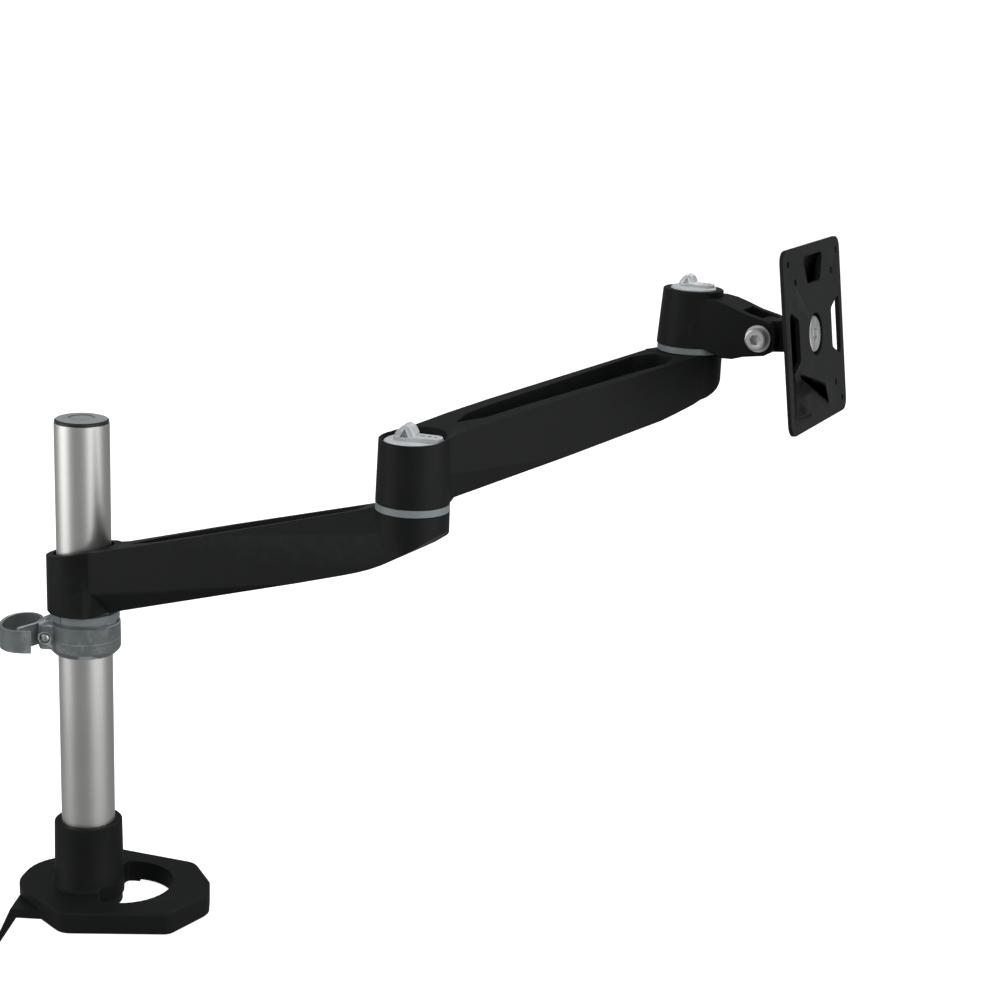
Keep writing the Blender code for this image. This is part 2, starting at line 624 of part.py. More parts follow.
def make_lower_link(frame):
    profile = [(-30, HUB1_LOW), (16, HUB1_LOW), (34, 215.1), (212, 274.4), (221, 277.6), (230, 281.2),
               (239, 285.6), (250, 292.0), (261, 299.4), (269, 306.0), (274, 312.0), (276, ELBOW_TOP),
               (224, ELBOW_TOP), (222, 315.4), (24, 255.2), (-30, 243.6)]
    lower = ((19.9, 17.05, 227.2), (170.0, 19.9, 261.4), (23.5, 4.8, 211.0), (60.0, 30.0, 190.0))
    upper = ((157.4, 19.65, 289.7), (240.2, 21.1, 305.4), (226.0, 11.4, 316.4), (200.0, 40.0, 340.0))
    body = link_beam("lower_link", LOWER_LEN, 16.8, 21.1, profile, (lower, upper))
    hub = common(rod("hub", HUB1_R, 190, 280, 64, edge=0.0), side("profile", profile, -40, 40))
    boss = common(rod("boss", ELBOW_R, 240, 340, 64, x=LOWER_LEN), side("profile", profile, -40, 40))
    body = join(body, hub, boss)
    trough = [(38, 0.5), (38, -0.5), (60, -9.0), (110, -12.6), (160, -11.6), (204, -8.6), (213, -5.4),
              (213, 5.4), (204, 8.6), (160, 11.6), (110, 12.6), (60, 9.0)]
    body = cut(body, pocket(trough, ((30.0, 247.5), (220.0, 305.0)), 340.0))
    body = cut(body, rod("hole", HUB1_BORE_R, 190, 280, 40),
               rod("hole", PIVOT_PIN_R + GAP, 298.0, 340, 24, x=LOWER_LEN))
    finish(body, BLACK, frame)
    sleeve = turned("pole_sleeve", [(POLE_R + GAP, 240.0), (SLEEVE_R, 240.0), (SLEEVE_R, HUB1_LOW + 0.2),
                                    (POLE_R + GAP, HUB1_LOW + 0.2)], 40, hollow=True)
    finish(sleeve, COLLAR_GREY, frame)
    ring = washer("elbow_ring", ELBOW_R, PIVOT_PIN_R + GAP, ELBOW_RING_LOW, ELBOW_RING_TOP, 40)
    ring.data.transform(Matrix.Translation((LOWER_LEN * MM, 0, 0)))
    finish(ring, RING_GREY, frame)
    pin = turned("elbow_pin", [(0, 352.0), (3.9, 352.0), (PIVOT_PIN_R - 0.8, 352.0), (PIVOT_PIN_R, 351.2),
                               (PIVOT_PIN_R, 298.3), (0, 298.3)], 24, x=LOWER_LEN)
    pin = cut(pin, rod("hole", 3.9, 336.0, 360.0, 20, x=LOWER_LEN))
    finish(pin, STEEL, frame)


def make_upper_link(frame):
    profile = [(-30, HUB2_LOW), (17, HUB2_LOW), (19, 324.2), (201, 349.0), (216, 352.2), (232, 356.0),
               (244, 360.0), (254, 364.6), (263, 370.2), (269, 376.0), (273, 384.0), (273, WRIST_TOP),
               (227, WRIST_TOP), (226, 387.7), (200, 384.9), (140, 378.4), (78, 371.3), (44, 367.0),
               (11, 362.0), (0, 360.2), (-30, 358.8)]
    lower = ((13.3, 18.0, 339.4), (115.0, 18.9, 337.0), (20.0, 15.4, 323.7), (60.0, 40.0, 300.0))
    body = link_beam("upper_link", UPPER_LEN, 18.0, 20.0, profile, (lower,))
    hub = turned("hub", [(0, 380), (HUB2_TOP_R - 0.5, 380), (HUB2_TOP_R, 361), (HUB2_LOW_R, HUB2_LOW),
                         (0, HUB2_LOW)], 40)
    hub = common(hub, side("profile", profile, -40, 40))
    boss = common(rod("boss", WRIST_R, 300, 400, 64, x=UPPER_LEN), side("profile", profile, -40, 40))
    body = join(body, hub, boss)
    trough = [(34, 0.5), (34, -0.5), (50, -7.6), (208, -14.4), (222, -8.0),
              (222, 8.0), (208, 14.4), (50, 7.6)]
    body = cut(body, pocket(trough, ((30.0, 356.0), (228.0, 377.5)), 420.0))
    body = cut(body, rod("hole", ELBOW_KNOB_R + 0.8, ELBOW_KNOB_Z - 2.7, 420, 40),
               rod("hole", BUSH_R + 0.3, HUB2_LOW - 5, 353.0, 24),
               rod("hole", 4.6, 350.0, 360.0, 24),
               rod("hole", PIVOT_PIN_R + GAP, 370.0, 420, 24, x=UPPER_LEN))
    finish(body, BLACK, frame)
    bush = turned("elbow_bush", [(PIVOT_PIN_R + GAP, 350.5), (BUSH_R, 350.5), (BUSH_R, HUB2_LOW + 0.2),
                                 (PIVOT_PIN_R + GAP, HUB2_LOW + 0.2)], 24, hollow=True)
    finish(bush, COLLAR_GREY, frame)
    ring = washer("wrist_ring", WRIST_R, PIVOT_PIN_R + GAP, WRIST_RING_LOW, WRIST_RING_TOP, 40)
    ring.data.transform(Matrix.Translation((UPPER_LEN * MM, 0, 0)))
    finish(ring, RING_GREY, frame)
    pin = turned("wrist_pin", [(0, 422.5), (PIVOT_PIN_R - 0.8, 422.5), (PIVOT_PIN_R, 421.7),
                               (PIVOT_PIN_R, 370.3), (0, 370.3)], 24, x=UPPER_LEN)
    pin = cut(pin, rod("hole", 3.9, 408.0, 430.0, 20, x=UPPER_LEN))
    finish(pin, STEEL, frame)


def make_knob(name, radius, face, stem_low, frame):
    """A locking knob: a disc with a raised thumb lever, and a stem that screws into the pivot pin."""
    k = radius / ELBOW_KNOB_R
    disc = turned(name, [(0, face), (radius - 1.4, face), (radius - 0.4, face - 0.5), (radius, face - 1.2),
                         (radius, face - 2.2), (3.5, face - 2.2), (3.5, stem_low), (0, stem_low)], 40)
    corners = [(17.0, -5.6, 5.0), (17.0, 5.6, 5.0), (-11.0, 6.2, 2.0), (-11.0, -6.2, 2.0)]
    bar = [(x * k, y * k, r * k) for x, y, r in corners]
    bar = flat("bar", rounded(bar, 5), face - 1.0, face + 2.8 * k, 0.35)
    crest = [(4.4, 2.2), (1.6, 3.2), (-1.2, 8.4), (-3.6, 9.6), (-6.4, 8.8), (-9.6, 5.6), (-11.8, 1.6)]
    foot = [(-12.4 * k, face - 1.0), (-4.0 * k, face - 1.0), (4.4 * k, face - 1.0)]
    fin = side("fin", foot + [(x * k, face + z * k) for x, z in crest], -5.2 * k, 5.2 * k, 0.5)
    lever = join(bar, fin)
    for hand in (1, -1):
        notch = [(-7.6, 2.0), (-2.2, 2.0), (-4.6, 7.2)]
        notch = side("notch", [(x * k, face + z * k) for x, z in notch], 3.2 * k, 9.0 * k)
        if hand < 0:
            notch.data.transform(Matrix.Scale(-1.0, 4, (0.0, 1.0, 0.0)))
            notch.data.flip_normals()
        lever = cut(lever, notch)
    finish(join(disc, lever), KNOB_GREY, frame)


# ---------------------------------------------------------------- head, tilt joint and plate
def make_head(frame):
    cone = turned("head_body", [(0, HEAD_TOP), (HEAD_TOP_R - 0.6, HEAD_TOP), (HEAD_TOP_R, HEAD_TOP - 0.5),
                                (HEAD_LOW_R, HEAD_LOW), (0, HEAD_LOW)], 40)
    outline = ([(4.0, HEAD_LOW), (15.5, HEAD_LOW), (29.0, 388.7), (36.0, 388.9), (44.0, 391.4)]
               + circle(EAR_R, 9, TILT_X, TILT_Z, -92.0, 172.0)
               + [(44.0, 419.5), (34.0, 423.0), (26.0, 425.4), (18.0, 426.6), (8.0, 425.6), (4.0, 424.0)])
    web = side("web", outline, -WEB_HALF, WEB_HALF, 0.8)
    body = join(cone, web)
    clear = rod("hole", 23.0, 370.0, HEAD_LOW, 40)
    slot = box("slot", TILT_X - 15.0, TILT_X + 30.0, -SLOT_HALF, SLOT_HALF, 370, 440)
    knob_seat = rod("hole", WRIST_KNOB_R + 0.5, WRIST_KNOB_Z - 2.6, 450, 40)
    bore = rod("hole", BUSH_R + 0.3, HEAD_LOW - 5, 424.5, 24)
    stem = rod("hole", 4.6, 420.0, 432.0, 24)
    bolt_hole = along_y(rod("hole", TILT_BOLT_R + GAP, -40, 40, 24), TILT_X, TILT_Z)
    finish(cut(body, clear, slot, knob_seat, bore, stem, bolt_hole), BLACK, frame)
    bush = turned("wrist_bush", [(PIVOT_PIN_R + GAP, 421.0), (BUSH_R, 421.0), (BUSH_R, HEAD_LOW + 0.2),
                                 (PIVOT_PIN_R + GAP, HEAD_LOW + 0.2)], 24, hollow=True)
    finish(bush, COLLAR_GREY, frame)

    side_y = WEB_HALF + GAP
    profile = [(0, side_y + 7.6), (6.0, side_y + 7.6), (7.2, side_y + 7.0), (7.2, side_y + 1.9),
               (TILT_BOLT_R, side_y + 1.9), (TILT_BOLT_R, -side_y - 9.0), (0, -side_y - 9.0)]
    bolt = turned("tilt_bolt", profile, 24)
    socket = flat("hole", hex_outline(6.0), side_y + 3.6, side_y + 12)
    finish(along_y(cut(bolt, socket), TILT_X, TILT_Z), STEEL, frame)
    for name, low in (("tilt_washer_front", side_y), ("tilt_washer_back", -side_y - 1.6)):
        disc = washer(name, 9.0, TILT_BOLT_R + GAP, low, low + 1.6, 24)
        finish(along_y(disc, TILT_X, TILT_Z), STEEL, frame)
    nut = flat("tilt_nut", hex_outline(13.0), -side_y - 8.0, -side_y - 1.9, 0.5)
    nut = cut(nut, rod("hole", TILT_BOLT_R + GAP, -60, 0, 24))
    finish(along_y(nut, TILT_X, TILT_Z), STEEL, frame)


def make_tilt_bracket(frame):
    tongue = side("tilt_bracket", circle(11.4, 15, start=62.0, sweep=236.0) + [(22.0, -10.6), (22.0, 10.6)],
                  -TONGUE_HALF, TONGUE_HALF, 0.5)
    disc = along_x(rod("disc", BRACKET_DISC_R, 20.0, 26.0, 32, edge=0.6))
    corners = [(-9.0, -17.0, 3), (9.0, -17.0, 3), (9.0, 17.0, 3), (-9.0, 17.0, 3)]
    web = front("web", rounded(corners, 3), 15.5, 21.0)
    body = join(tongue, web, disc)
    body = cut(body, along_y(rod("hole", TILT_BOLT_R + GAP, -40, 40, 24), 0, 0),
               along_x(rod("hole", 6.3, 12.5, 40, 24)))
    finish(body, BLACK, frame)
    disc = washer("friction_disc", 21.0, 6.3, 26.3, 27.8, 40)
    finish(along_x(disc), RING_GREY, frame)
    bolt = turned("rotation_bolt", [(0, 33.2), (11.0, 33.2), (12.0, 32.4), (12.0, 29.9), (6.0, 29.9),
                                    (6.0, 13.0), (0, 13.0)], 24)
    bolt = cut(bolt, flat("hole", hex_outline(8.0), 30.6, 40.0))
    finish(along_x(bolt), STEEL, frame)


def make_display_plate(frame):
    half = PLATE_SIZE / 2.0
    low = PLATE_FACE_X - PLATE_THICK
    corners = [(half, -half, 8), (half, half, 8), (-half, half, 8), (-half, -half, 8)]
    plate = front("display_plate", rounded(corners, 5), low, PLATE_FACE_X, 0.4)
    hub = along_x(rod("hub", 24.0, 28.1, low + 1.0, 32, edge=0.4))
    plate = join(plate, hub)
    plate = cut(plate, along_x(rod("hole", 14.0, 29.6, 50.0, 32)), along_x(rod("hole", 6.3, 20, 40, 24)))
    for pitch in VESA_PITCHES:
        for sy in (-1, 1):
            for sz in (-1, 1):
                hole = along_x(rod("hole", VESA_HOLE_R, 20, 50, 10), sy * pitch / 2.0, sz * pitch / 2.0)
                plate = cut(plate, hole)
    for turn in (0.0, 90.0, 180.0, 270.0):
        corners = [(-13.0, 34.0, 3), (13.0, 34.0, 3), (21.0, 52.0, 3), (-21.0, 52.0, 3)]
        window = front("window", rounded(corners, 2), 20, 50)
        window.data.transform(Matrix.Rotation(math.radians(turn), 4, "X"))
        plate = cut(plate, window)
    finish(plate, BLACK, frame)


# ---------------------------------------------------------------- assembly
make_bracket()
make_base()
make_pole()

clamp_axis = joint_frame("axis_clamp_travel")
screw_axis = joint_frame("axis_clamp_turn", clamp_axis)
make_clamp(clamp_axis)
make_clamp_screw(screw_axis)

collar_axis = joint_frame("axis_height")
make_collar(collar_axis)

lower_axis = joint_frame("axis_lower_swivel", collar_axis, azimuth=LOWER_AZ)
make_lower_link(lower_axis)

upper_axis = joint_frame("axis_elbow", lower_axis, (LOWER_LEN, 0, 0), UPPER_AZ - LOWER_AZ)
make_upper_link(upper_axis)
knob_axis = joint_frame("axis_elbow_knob", upper_axis, azimuth=ELBOW_KNOB_AZ - UPPER_AZ)
make_knob("elbow_knob", ELBOW_KNOB_R, ELBOW_KNOB_Z, 338.0, knob_axis)

head_axis = joint_frame("axis_wrist", upper_axis, (UPPER_LEN, 0, 0), HEAD_AZ - UPPER_AZ)
make_head(head_axis)
wrist_knob_axis = joint_frame("axis_wrist_knob", head_axis, azimuth=WRIST_KNOB_AZ - HEAD_AZ)
make_knob("wrist_knob", WRIST_KNOB_R, WRIST_KNOB_Z, 410.0, wrist_knob_axis)

tilt_axis = joint_frame("axis_tilt", head_axis, (TILT_X, 0, TILT_Z), pitch=-TILT_BACK)
make_tilt_bracket(tilt_axis)
plate_axis = joint_frame("axis_rotation", tilt_axis)
make_display_plate(plate_axis)
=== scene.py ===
import json
import math

import bmesh
import bpy
from mathutils import Matrix, Vector

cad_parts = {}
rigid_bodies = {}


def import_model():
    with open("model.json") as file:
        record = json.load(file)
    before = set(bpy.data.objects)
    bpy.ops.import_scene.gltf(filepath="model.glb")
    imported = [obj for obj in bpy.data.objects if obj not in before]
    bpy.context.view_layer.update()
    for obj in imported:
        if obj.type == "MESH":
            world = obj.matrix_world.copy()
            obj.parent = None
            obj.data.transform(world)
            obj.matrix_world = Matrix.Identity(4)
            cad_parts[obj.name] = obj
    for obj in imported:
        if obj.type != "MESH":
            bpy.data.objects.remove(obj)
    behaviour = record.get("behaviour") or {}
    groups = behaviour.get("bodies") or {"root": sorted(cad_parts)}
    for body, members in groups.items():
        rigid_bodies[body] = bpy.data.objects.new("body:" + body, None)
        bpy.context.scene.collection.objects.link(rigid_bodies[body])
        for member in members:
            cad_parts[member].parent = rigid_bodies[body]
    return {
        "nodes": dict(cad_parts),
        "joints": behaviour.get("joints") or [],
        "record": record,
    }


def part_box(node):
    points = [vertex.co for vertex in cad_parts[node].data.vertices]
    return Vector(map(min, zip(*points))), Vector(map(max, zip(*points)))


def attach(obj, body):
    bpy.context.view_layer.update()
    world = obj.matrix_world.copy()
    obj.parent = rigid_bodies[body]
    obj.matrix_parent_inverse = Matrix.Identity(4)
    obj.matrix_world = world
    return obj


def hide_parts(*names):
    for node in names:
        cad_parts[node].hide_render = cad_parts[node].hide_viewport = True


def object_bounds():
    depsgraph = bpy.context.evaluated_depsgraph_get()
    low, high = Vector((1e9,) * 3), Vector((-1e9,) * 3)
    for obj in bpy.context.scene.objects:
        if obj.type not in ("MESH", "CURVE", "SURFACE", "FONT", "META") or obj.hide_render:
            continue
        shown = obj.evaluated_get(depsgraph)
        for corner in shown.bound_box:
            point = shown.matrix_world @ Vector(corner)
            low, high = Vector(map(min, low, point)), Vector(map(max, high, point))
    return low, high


for leftover in list(bpy.data.objects):
    bpy.data.objects.remove(leftover, do_unlink=True)

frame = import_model()
CAD_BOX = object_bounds()
MM = 0.001
NODES = frame["nodes"]
BODY_OF = {n: body for body, names in frame["record"]["behaviour"]["bodies"].items() for n in names}
SLOT_OF = {s["node"]: s["material_slot"] for s in frame["record"]["subparts"]}
JOINT = {j["name"]: j for j in frame["joints"]}


# ------------------------------------------------------------------ materials
# sockets of the mix node's colour mode, whose names its other modes share
MIX_A = 6
MIX_B = 7
MIX_RESULT = 2

# sharp edges are painted lighter, partly as wear and partly as painted highlight; this noise makes their
# border ragged
WEAR_AND_HIGHLIGHT_NOISE = 180.0
WEAR_AND_HIGHLIGHT_UNEVEN = 0.03
SCRATCH_NOISE = 40.0
SCRATCH_STRETCH = (1.0, 30.0, 3.0)
SCRATCH_BAND = (0.58, 0.66)
BUMP_STRENGTH = 0.6


def node(tree, kind, inputs=None, **props):
    """Add a shader node; inputs are set by value or linked when given as a socket."""
    made = tree.nodes.new(kind)
    for key, value in props.items():
        setattr(made, key, value)
    for key, value in (inputs or {}).items():
        if isinstance(value, bpy.types.NodeSocket):
            tree.links.new(value, made.inputs[key])
        else:
            made.inputs[key].default_value = value
    return made


def noise(tree, scale, stretch=(1.0, 1.0, 1.0), detail=3.0, rough=0.5):
    where = node(tree, "ShaderNodeTexCoord").outputs["Object"]
    where = node(tree, "ShaderNodeMapping", {"Vector": where, "Scale": stretch}).outputs["Vector"]
    made = node(tree, "ShaderNodeTexNoise", {
        "Vector": where, "Scale": scale, "Detail": detail, "Roughness": rough})
    return made.outputs["Fac"]


def spread(tree, value, low, high, at=(0.3, 0.7)):
    """Map a value from the range at to low..high; the default range is where most of a noise lies."""
    made = node(tree, "ShaderNodeMapRange", {
        "Value": value, "From Min": at[0], "From Max": at[1], "To Min": low, "To Max": high})
    return made.outputs["Result"]


def mix_colours(tree, factor, first, second):
    """Blend two colours, each a socket or an (r, g, b) value."""
    pair = [c if isinstance(c, bpy.types.NodeSocket) else (*c, 1.0) for c in (first, second)]
    made = node(tree, "ShaderNodeMix", {"Factor": factor, MIX_A: pair[0], MIX_B: pair[1]}, data_type="RGBA")
    return made.outputs[MIX_RESULT]


def surface(name, dark, light, rough, grain, grain_depth, metallic=0.0, patch=30.0,
            stretch=(1.0, 1.0, 1.0), edge_wear_and_highlight=None, wear_and_highlight_range=None, scratch=0.0, specular=0.5,
            anisotropic=0.0, uneven=0.04):
    """A procedural finish: mottled colour, uneven gloss, fine grain in relief, and sharp edges painted
    lighter, partly as wear and partly as painted highlight.
    """
    mat = bpy.data.materials.new(name)
    mat.use_nodes = True
    tree = mat.node_tree
    shader = tree.nodes["Principled BSDF"]
    shader.inputs["Metallic"].default_value = metallic
    shader.inputs["Specular IOR Level"].default_value = specular
    shader.inputs["Anisotropic"].default_value = anisotropic
    broad = noise(tree, patch, detail=4.0)
    fine = noise(tree, grain, stretch, detail=2.0)
    colour = mix_colours(tree, spread(tree, broad, 0.0, 1.0), dark, light)
    gloss = node(tree, "ShaderNodeMath", {
        0: spread(tree, broad, rough[0], rough[1]),
        1: spread(tree, fine, -uneven, uneven)}, operation="ADD").outputs[0]
    if edge_wear_and_highlight is not None:
        # worn edges and painted highlight: sharp edges, found by pointiness, take a lighter colour
        edge = node(tree, "ShaderNodeNewGeometry").outputs["Pointiness"]
        ragged = spread(tree, noise(tree, WEAR_AND_HIGHLIGHT_NOISE), -WEAR_AND_HIGHLIGHT_UNEVEN, WEAR_AND_HIGHLIGHT_UNEVEN)
        edge = node(tree, "ShaderNodeMath", {0: edge, 1: ragged}, operation="ADD").outputs[0]
        colour = mix_colours(tree, spread(tree, edge, 0.0, 1.0, wear_and_highlight_range), colour, edge_wear_and_highlight)
    height = fine
    if scratch > 0.0:
        lines = noise(tree, SCRATCH_NOISE, SCRATCH_STRETCH, detail=6.0, rough=0.7)
        lines = spread(tree, lines, 0.0, scratch, SCRATCH_BAND)
        height = node(tree, "ShaderNodeMath", {0: fine, 1: lines}, operation="SUBTRACT").outputs[0]
    bump = node(tree, "ShaderNodeBump", {
        "Height": height, "Strength": BUMP_STRENGTH, "Distance": grain_depth})
    tree.links.new(colour, shader.inputs["Base Color"])
    tree.links.new(gloss, shader.inputs["Roughness"])
    tree.links.new(bump.outputs["Normal"], shader.inputs["Normal"])
    if anisotropic > 0.0:
        tangent = node(tree, "ShaderNodeTangent", direction_type="RADIAL", axis="Z")
        tree.links.new(tangent.outputs["Tangent"], shader.inputs["Tangent"])
    return mat


def paint_side_shade(mat, colour, upright=(0.75, 0.95)):
    """Paint shade on the faces that do not look up, which take the given darker colour; upright is the
    normal's Z where it changes.
    """
    tree = mat.node_tree
    base = tree.nodes["Principled BSDF"].inputs["Base Color"]
    top_colour = base.links[0].from_socket
    normal = node(tree, "ShaderNodeNewGeometry").outputs["Normal"]
    facing = node(tree, "ShaderNodeSeparateXYZ", {"Vector": normal}).outputs["Z"]
    shaded_side = spread(tree, facing, 1.0, 0.0, upright)
    tree.links.new(mix_colours(tree, shaded_side, top_colour, colour), base)


# in the finishes below, the lighter edge colour is partly wear and partly painted highlight on the sharp
# edges
COAT = surface(
    "powder_coat_black", dark=(0.0058, 0.0064, 0.0061), light=(0.0074, 0.0081, 0.0078), rough=(0.48, 0.56),
    grain=1500.0, grain_depth=0.00004, edge_wear_and_highlight=(0.016, 0.017, 0.017), wear_and_highlight_range=(0.57, 0.72), specular=0.125)
PAINT = surface(
    "painted_steel_black", dark=(0.0055, 0.0059, 0.0058), light=(0.0075, 0.0080, 0.0079), rough=(0.46, 0.56),
    grain=900.0, grain_depth=0.00004, edge_wear_and_highlight=(0.03, 0.03, 0.03), wear_and_highlight_range=(0.58, 0.75), scratch=0.3, specular=0.2)
HANDLE = surface(
    "moulded_black", dark=(0.009, 0.009, 0.009), light=(0.013, 0.013, 0.013), rough=(0.42, 0.55),
    grain=2200.0, grain_depth=0.00003)
POLE = surface(
    "pole_satin_aluminium", dark=(0.62, 0.615, 0.595), light=(0.68, 0.675, 0.655), rough=(0.38, 0.41),
    grain=40.0, grain_depth=0.000002, metallic=1.0, patch=12.0, stretch=(1.0, 1.0, 70.0), anisotropic=0.2,
    uneven=0.012)
COLLAR = surface(
    "moulded_collar_grey", dark=(0.092, 0.107, 0.108), light=(0.122, 0.138, 0.140), rough=(0.32, 0.44),
    grain=700.0, grain_depth=0.00005, patch=90.0, stretch=(1.0, 1.0, 3.0), edge_wear_and_highlight=(0.36, 0.39, 0.40),
    wear_and_highlight_range=(0.54, 0.66))
RING = surface(
    "moulded_ring_grey", dark=(0.145, 0.170, 0.173), light=(0.175, 0.203, 0.205), rough=(0.34, 0.44),
    grain=1200.0, grain_depth=0.00003, patch=60.0, edge_wear_and_highlight=(0.36, 0.39, 0.40), wear_and_highlight_range=(0.56, 0.7))
CAP = surface(
    "moulded_cap_grey", dark=(0.17, 0.19, 0.187), light=(0.21, 0.23, 0.227), rough=(0.35, 0.45),
    grain=1200.0, grain_depth=0.00003, patch=60.0)
KNOB = surface(
    "moulded_knob_grey", dark=(0.34, 0.36, 0.37), light=(0.42, 0.44, 0.45), rough=(0.33, 0.45),
    grain=1400.0, grain_depth=0.00004, patch=120.0, edge_wear_and_highlight=(0.62, 0.64, 0.64), wear_and_highlight_range=(0.56, 0.68))
STEEL = surface(
    "zinc_plated_steel", dark=(0.62, 0.62, 0.61), light=(0.74, 0.74, 0.73), rough=(0.36, 0.48),
    grain=500.0, grain_depth=0.00003, metallic=1.0, patch=160.0, scratch=0.5)
RUBBER = surface(
    "black_rubber", dark=(0.010, 0.010, 0.010), light=(0.018, 0.018, 0.018), rough=(0.75, 0.9),
    grain=1800.0, grain_depth=0.00008)
PRINT = surface(
    "mark_dark_grey", dark=(0.02, 0.022, 0.024), light=(0.035, 0.037, 0.04), rough=(0.5, 0.6),
    grain=2000.0, grain_depth=0.00002)
# painted shade: the cap's sides that do not face up take a near-black colour
paint_side_shade(CAP, (0.012, 0.013, 0.013))

FINISH = {
    "arm_black": COAT, "clamp_black": PAINT, "plate_black": PAINT, "handle_black": HANDLE,
    "pole_aluminium": POLE, "collar_grey": COLLAR, "ring_grey": RING, "knob_grey": KNOB,
    "bright_steel": STEEL, "rubber_black": RUBBER,
}


# ------------------------------------------------------------------ pieces made from the frame's solids
WELD = 0.002 * MM
FLAT_WITHIN = math.radians(0.8)
CORNER_OVER = math.radians(28.0)
CORNER_STEPS = 3

# how far each piece's corners are rounded off, in millimetres
ROUND_OFF = {
    "base_cover": 0.5, "base_pad": 0.2, "clamp_bracket": 0.3, "pole_cap": 0.0, "clamp_pad_rubber": 0.2,
    "clamp_pad": 0.25, "clamp_handle": 0.3, "height_collar": 0.2, "collar_bolt": 0.12, "collar_nut": 0.15,
    "thrust_ring": 0.15, "lower_link": 0.8, "elbow_ring": 0.2, "upper_link": 0.8, "wrist_ring": 0.2,
    "elbow_knob": 0.25, "head_body": 0.6, "tilt_bolt": 0.2, "tilt_washer_front": 0.12,
    "tilt_washer_back": 0.12, "tilt_nut": 0.2, "wrist_knob": 0.2, "tilt_bracket": 0.3, "friction_disc": 0.12,
    "rotation_bolt": 0.2, "display_plate": 0.25, "jaw_nut": 0.15,
}
HIDDEN = ("pole_spigot", "pole_sleeve", "elbow_pin", "elbow_bush", "wrist_pin", "wrist_bush")
SCREWS = ("cover_screw_1", "cover_screw_2", "pole_screw_1", "pole_screw_2", "pole_screw_3")


def mesh_from(bm, name):
    mesh = bpy.data.meshes.new(name)
    bm.to_mesh(mesh)
    bm.free()
    return mesh


def add(name, mesh, mat, body, shade=24.0):
    """Put a mesh on a body; an edge that turns by more than shade degrees stays sharp."""
    obj = bpy.data.objects.new(name, mesh)
    bpy.context.scene.collection.objects.link(obj)
    mesh.materials.clear()
    mesh.materials.append(mat)
    mesh.shade_smooth()
    mesh.set_sharp_from_angle(angle=math.radians(shade))
    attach(obj, body)
    return obj


def finished(name, round_off, mat):
    """The solid again: welded, flat faces whole, edges rounded off, standing for the frame's node."""
    bm = bmesh.new()
    bm.from_mesh(NODES[name].data)
    bmesh.ops.remove_doubles(bm, verts=bm.verts, dist=WELD)
    bmesh.ops.dissolve_limit(bm, angle_limit=FLAT_WITHIN, verts=bm.verts, edges=bm.edges)
    mesh = mesh_from(bm, name + "_finished")
    obj = add(name + "_finished", mesh, mat, BODY_OF[name], shade=17.0)
    if round_off > 0.0:
        edges = obj.modifiers.new("edges", "BEVEL")
        edges.width = round_off * MM
        edges.segments = CORNER_STEPS
        edges.limit_method = "ANGLE"
        edges.angle_limit = CORNER_OVER
        edges.use_clamp_overlap = True
        edges.harden_normals = True
        edges.miter_outer = "MITER_ARC"
    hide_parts(name)


for name, size in ROUND_OFF.items():
    finished(name, size, CAP if name == "pole_cap" else FINISH[SLOT_OF[name]])

# what the hubs hide, and the screws under the bracket, keep the frame's own solids
for name in HIDDEN + SCREWS:
    NODES[name].data.materials.clear()
    NODES[name].data.materials.append(FINISH[SLOT_OF[name]])


# ------------------------------------------------------------------ pole tube
TUBE_STEPS = 128
WALL = 2.5 * MM
CHAMFER = 0.5 * MM


def lathe(name, profile, steps):
    """Quads round the Z axis from a closed run of (radius, z) pairs."""
    bm = bmesh.new()
    rings = []
    for k in range(steps):
        a = math.tau * k / steps
        rings.append([bm.verts.new((r * math.cos(a), r * math.sin(a), z)) for r, z in profile])
    count = len(profile)
    for k in range(steps):
        here, after = rings[k], rings[(k + 1) % steps]
        for i in range(count):
            j = (i + 1) % count
            bm.faces.new((here[i], here[j], after[j], after[i]))
    bmesh.ops.recalc_face_normals(bm, faces=bm.faces)
    return mesh_from(bm, name)


low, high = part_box("pole_tube")
POLE_R = (high.x - low.x) / 2.0
tube = lathe("pole_tube_finished", [
    (POLE_R - WALL, high.z),
    (POLE_R - 1.4 * CHAMFER, high.z),
    (POLE_R - 0.45 * CHAMFER, high.z - 0.4 * CHAMFER),
    (POLE_R, high.z - 1.4 * CHAMFER),
    (POLE_R, low.z),
    (POLE_R - WALL, low.z),
], TUBE_STEPS)
tube = add("pole_tube_finished", tube, POLE, "stand", shade=20.0)
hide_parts("pole_tube")


# ------------------------------------------------------------------ clamp screw
THREAD_PITCH = 3.0 * MM
THREAD_DEPTH = 0.75 * MM
THREAD_SIDES = 40
ROWS_PER_TURN = 10
# a ridge is a slope cut off at 0 and 1: its height at mid-ridge before the cut, and its fall per turn
RIDGE_PEAK = 1.6
RIDGE_FALL = 4.4


